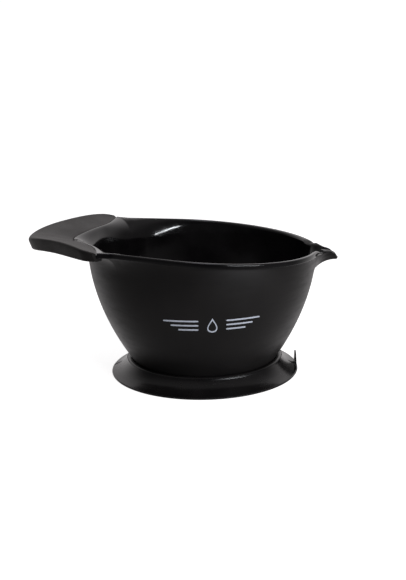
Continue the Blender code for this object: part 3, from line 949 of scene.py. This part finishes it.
def make_print(surface):
    """Droplet between two sets of rules, printed on the wall."""
    bm = bmesh.new()
    ink_strip(bm, droplet(0.0), droplet(INK_STROKE))
    for side in (-1.0, 1.0):
        for up, length in RULES:
            ink_strip(bm, *rule(side, up, length))
    made = new_object("printed_mark", bm, (surface,))
    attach(made, "bowl")


# ---------------------------------------------------------------- stage

FLOOR_HALF_SIZE = 15000.0
FLOOR_GAP = 0.05                # between the floor and the base
LIGHT_AIM_Z = 50.0
ROOM_TINT = (1.0, 0.968, 0.976)
ROOM_SEEN = 1.05                # brightness of the room that the camera sees


def make_floor():
    """Large plain sheet under the base, which lights nothing and isn't mirrored."""
    bm = bmesh.new()
    bmesh.ops.create_grid(bm, x_segments=8, y_segments=8, size=FLOOR_HALF_SIZE)
    bmesh.ops.translate(bm, vec=(0.0, 0.0, -FLOOR_GAP), verts=bm.verts)
    made = new_object("studio_floor", bm, (floor_paper(),))
    made.visible_glossy = False
    made.visible_diffuse = False


def make_camera():
    """Camera in front of the bowl, looking a little down at it."""
    data = bpy.data.cameras.new("photo_camera")
    data.sensor_fit = "AUTO"
    data.sensor_width = SENSOR
    data.lens = FOCAL_LENGTH
    camera = bpy.data.objects.new("photo_camera", data)
    place = Vector((AXIS_X, CAMERA_BACK, CAMERA_HEIGHT)) * MM
    aim = Vector((AXIS_X + AIM_X, 0.0, AIM_Z)) * MM
    turn = (aim - place).to_track_quat("-Z", "Y").to_matrix().to_4x4()
    roll = Matrix.Rotation(math.radians(CAMERA_ROLL), 4, "Z")
    camera.matrix_world = Matrix.Translation(place) @ turn @ roll
    bpy.context.scene.collection.objects.link(camera)
    bpy.context.scene.camera = camera


def softbox(name, azimuth, elevation, distance, size, power, colour=(1.0, 1.0, 1.0)):
    """Rectangular light aimed at the middle of the bowl, its distance and size in metres."""
    data = bpy.data.lights.new(name, "AREA")
    data.shape = "RECTANGLE"
    data.size, data.size_y = size
    data.energy = power
    data.color = colour
    made = bpy.data.objects.new(name, data)
    a, e = math.radians(azimuth), math.radians(elevation)
    way = Vector((math.cos(a) * math.cos(e), math.sin(a) * math.cos(e), math.sin(e)))
    middle = Vector((AXIS_X, 0.0, LIGHT_AIM_Z)) * MM
    made.location = middle + way * distance
    made.rotation_euler = (-way).to_track_quat("-Z", "Y").to_euler()
    bpy.context.scene.collection.objects.link(made)
    return made


# Brightness of the room in a direction: (axis, its share of that direction where the room starts
# to brighten and where it is brightest, brightness)
ROOM = (("Y", 0.1, 0.9, 0.75), ("X", 0.1, 0.9, 0.11), ("X", -0.1, -0.9, 0.08), ("Z", 0.3, 1.0, 0.24),
        ("Z", -0.1, -0.9, 0.20))


def make_room():
    """Room that is bright behind the bowl and dark in front; the camera sees it plain white."""
    world = bpy.data.worlds.new("studio")
    bpy.context.scene.world = world
    world.use_nodes = True
    tree = world.node_tree
    shine = tree.nodes["Background"]
    shine.inputs["Color"].default_value = (*ROOM_TINT, 1.0)
    around = tree.nodes.new("ShaderNodeTexCoord")
    parts = tree.nodes.new("ShaderNodeSeparateXYZ")
    tree.links.new(around.outputs["Generated"], parts.inputs[0])
    total = None
    for axis, start, full, brightness in ROOM:
        side = tree.nodes.new("ShaderNodeMapRange")
        side.interpolation_type = "SMOOTHSTEP"
        tree.links.new(parts.outputs[axis], side.inputs["Value"])
        side.inputs["From Min"].default_value = start
        side.inputs["From Max"].default_value = full
        side.inputs["To Max"].default_value = brightness
        if total is None:
            total = side.outputs[0]
            continue
        add = tree.nodes.new("ShaderNodeMath")
        tree.links.new(total, add.inputs[0])
        tree.links.new(side.outputs[0], add.inputs[1])
        total = add.outputs[0]
    path = tree.nodes.new("ShaderNodeLightPath")
    seen = tree.nodes.new("ShaderNodeMix")
    tree.links.new(path.outputs["Is Camera Ray"], seen.inputs["Factor"])
    tree.links.new(total, seen.inputs["A"])
    seen.inputs["B"].default_value = ROOM_SEEN
    tree.links.new(seen.outputs["Result"], shine.inputs["Strength"])


def make_lights():
    """Low slim softbox at the front right, a broad fill that isn't mirrored and a weak one overhead."""
    softbox("key_softbox", -51.0, 2.0, 0.9, (0.50, 0.04), 2.8, (0.93, 0.96, 1.0))
    fill = softbox("fill_softbox", -60.0, 44.0, 1.0, (0.5, 0.35), 4.0, (1.0, 0.94, 0.96))
    fill.visible_glossy = False
    softbox("top_softbox", -50.0, 80.0, 1.0, (0.3, 0.3), 0.8, (0.85, 0.88, 1.0))


make_camera()
make_floor()
make_lights()
make_room()
make_bowl(satin_plastic(), gloss_plastic())
grip_top = grip_elastomer("grip_soft_touch", 0.42, 1.0)
# darker copy of the grip material for its side: painted shade
grip_side_painted_shade = grip_elastomer("grip_side_painted_shade", 0.25, 0.6)
make_grip(grip_top, grip_side_painted_shade)
make_base(base_rubber("base_soft_rubber"))
make_tab(base_rubber("tab_soft_rubber"))
make_print(print_ink())
bpy.context.scene.view_settings.view_transform = "Standard"
